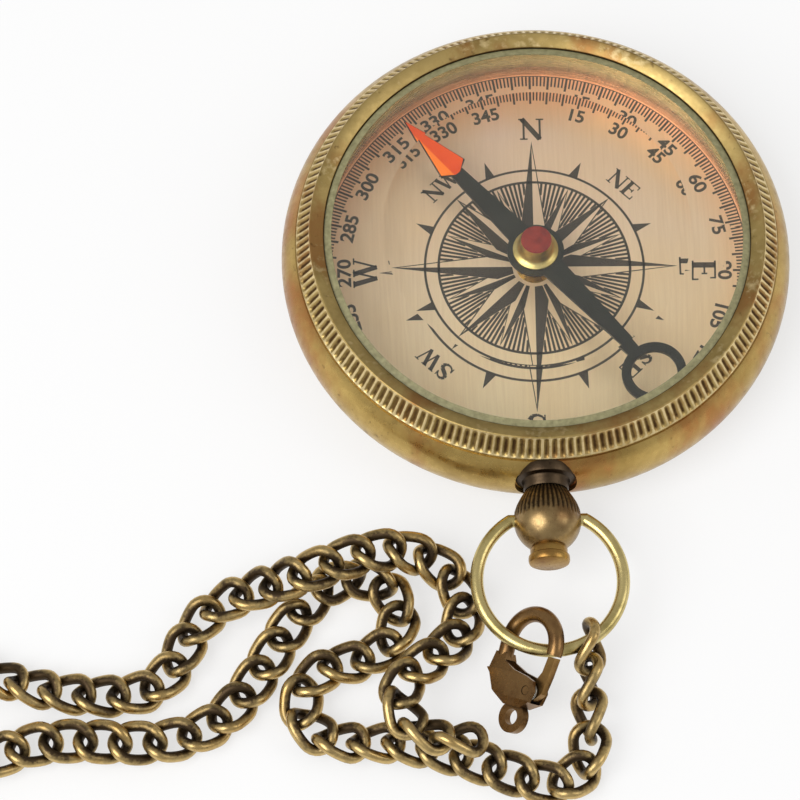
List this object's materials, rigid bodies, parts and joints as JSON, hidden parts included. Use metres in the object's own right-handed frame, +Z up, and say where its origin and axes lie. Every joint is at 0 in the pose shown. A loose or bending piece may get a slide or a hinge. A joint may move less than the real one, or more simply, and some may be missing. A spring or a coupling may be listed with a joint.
{
  "type": "pocket compass",
  "caption": "Open-face round compass in a brass case with a pendant ball, a swinging wire bow and a curb chain clipped back to the bow by a lobster clasp.",
  "frame": {"origin": "centre of the case's flat back, which rests on the table", "axes": "+Z up out of the dial along the case's axis, the pendant and bow point to -Y, +X is the dial's right"},
  "size_m": [0.0881, 0.08, 0.0109],
  "materials": {
    "case_brass": "antique brass, brown patina in the recesses, satin",
    "bezel_brass": "antique brass, coin edge, satin",
    "crystal_glass": "clear glass with a conical bevel",
    "gasket_rubber": "black rubber",
    "dial_brass": "satin brass",
    "dial_copper": "copper-coloured brushed plate with dark print",
    "bright_brass": "polished brass",
    "pivot_steel": "steel",
    "needle_black": "blackened steel sheet, orange lacquered tip",
    "jewel_red": "dark red glossy cap",
    "pendant_bronze": "dark bronze patina",
    "bow_gold": "bright brass wire",
    "chain_brass": "antique brass, dark in the recesses"
  },
  "bodies": {
    "case": {"case_body": "case_brass", "bezel": "bezel_brass", "crystal": "crystal_glass", "crystal_gasket": "gasket_rubber", "spacer_ring": "dial_brass", "dial_plate": "dial_copper", "pivot_base": "bright_brass", "pivot_pin": "pivot_steel", "pendant_collar": "pendant_bronze", "pendant_stem": "case_brass", "pendant_ball": "pendant_bronze", "pendant_button": "case_brass"},
    "needle": {"needle_blade": "needle_black", "needle_hub": "bright_brass", "hub_jewel": "jewel_red"},
    "bow": {"bow_ring": "bow_gold"},
    "chain_lead": {"chain_drop": "chain_brass"},
    "chain_pile": {"chain_corner": "chain_brass", "chain_front_run": "chain_brass", "chain_pile_turn": "chain_brass", "chain_pile_loop": "chain_brass", "chain_diagonal": "chain_brass", "chain_lower_run": "chain_brass", "chain_far_turn": "chain_brass", "chain_upper_run": "chain_brass", "chain_rise": "chain_brass", "chain_hump": "chain_brass", "chain_right_loop": "chain_brass"},
    "chain_tail": {"chain_clasp_run": "chain_brass"},
    "clasp": {"clasp_body": "pendant_bronze", "clasp_pin": "bright_brass", "clasp_spring": "pivot_steel"},
    "gate": {"clasp_lever": "pendant_bronze"}
  },
  "joints": [
    {"name": "needle_spin", "type": "hinge", "parent": "case", "child": "needle", "pos_m": [0, 0, 0.006], "axis": [0, 0, 1], "continuous": true},
    {"name": "bow_swing", "type": "hinge", "parent": "case", "child": "bow", "pos_m": [0, -0.0285, 0.0055], "axis": [-1, 0, 0], "range_deg": [0, 20]},
    {"name": "chain_lead_swing", "type": "hinge", "parent": "bow", "child": "chain_lead", "pos_m": [0.00375, -0.04015, 0.00489], "axis": [-1, 0, 0], "range_deg": [-51, 0]},
    {"name": "chain_pile_level", "type": "hinge", "parent": "chain_lead", "child": "chain_pile", "pos_m": [0.0033, -0.04839, 0.00196], "axis": [-1, 0, 0], "range_deg": [0, 31]},
    {"name": "chain_tail_swing", "type": "hinge", "parent": "chain_pile", "child": "chain_tail", "pos_m": [-0.01321, -0.04253, 0.00359], "axis": [-0.341, -0.898, -0.278], "range_deg": [0, 11.3]},
    {"name": "clasp_swing", "type": "hinge", "parent": "bow", "child": "clasp", "pos_m": [-0.002, -0.04096, 0.00485], "axis": [0.9568, -0.2905, -0.0152], "range_deg": [0, 45]},
    {"name": "gate_press", "type": "hinge", "parent": "clasp", "child": "gate", "pos_m": [-0.00204, -0.04512, 0.00444], "axis": [-0.6677, -0.0661, 0.7414], "range_deg": [0, 20], "stiffness_Nm_per_rad": 0.00001, "springref_deg": -17.19}
  ],
  "couplings": [
    {"joint": "chain_lead_swing", "follows": "bow_swing", "ratio": -2.5},
    {"joint": "chain_pile_level", "follows": "bow_swing", "ratio": 1.5},
    {"joint": "chain_tail_swing", "follows": "bow_swing", "ratio": 0.515},
    {"joint": "clasp_swing", "follows": "bow_swing", "ratio": 2.2}
  ]
}
